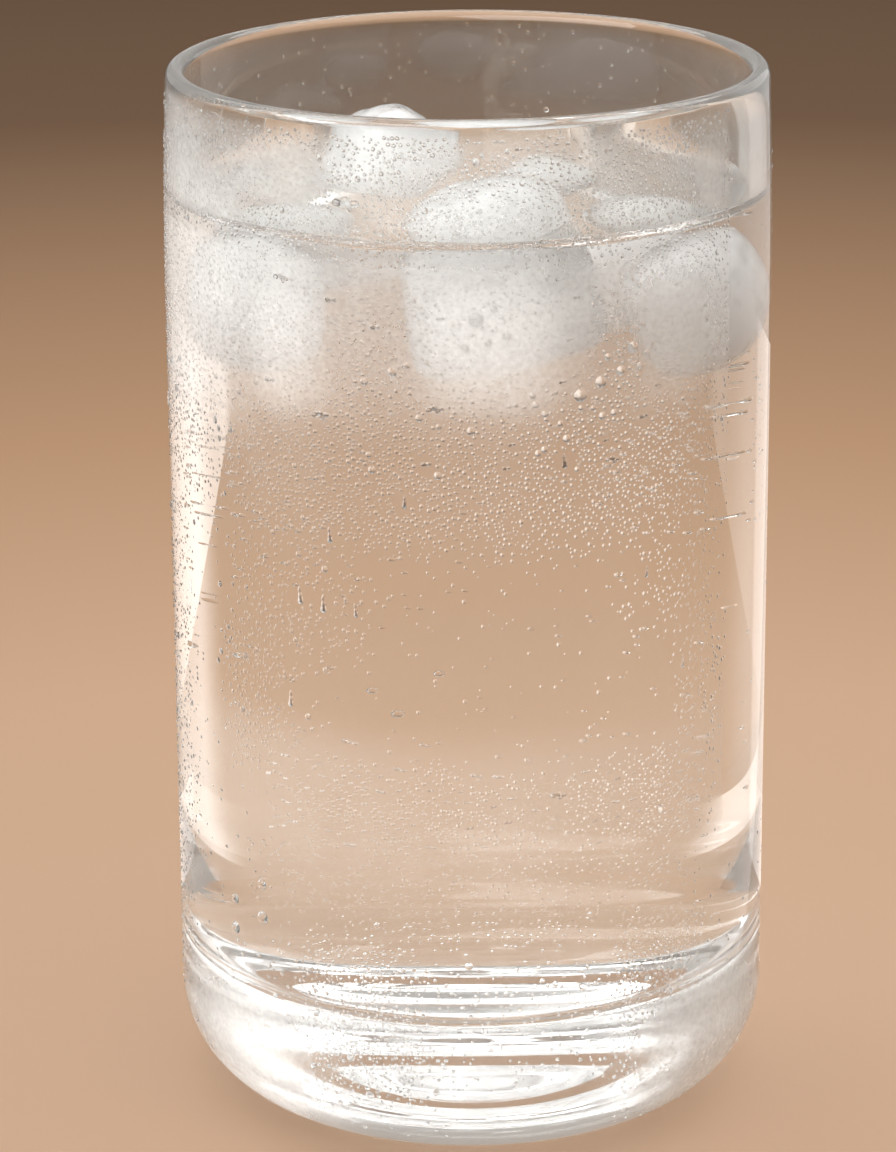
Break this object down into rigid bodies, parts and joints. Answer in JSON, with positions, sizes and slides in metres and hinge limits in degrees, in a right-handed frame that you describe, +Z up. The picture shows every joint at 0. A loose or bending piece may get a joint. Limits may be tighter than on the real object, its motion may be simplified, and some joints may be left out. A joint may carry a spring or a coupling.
{
  "type": "glass of mineral water",
  "caption": "Straight tumbler with a heavy rounded base, filled with clear chilled water to just under the rim, with ice floating in it and condensation on the outside.",
  "frame": {"origin": "centre of the standing ring under the base, on the surface it stands on", "axes": "+Z up along the glass's axis; -Y towards the side seen first, where the front ice piece floats"},
  "size_m": [0.072, 0.072, 0.1274],
  "materials": {
    "glass": "clear and fire-polished, faintly green where it is thick",
    "water": "clear cold water; also the condensation drops on the outside",
    "ice": "melt-smoothed ice, cloudy white inside"
  },
  "bodies": {
    "root": {"glass": "glass", "water": "water", "ice_front": "ice", "ice_back": "ice"}
  },
  "joints": []
}
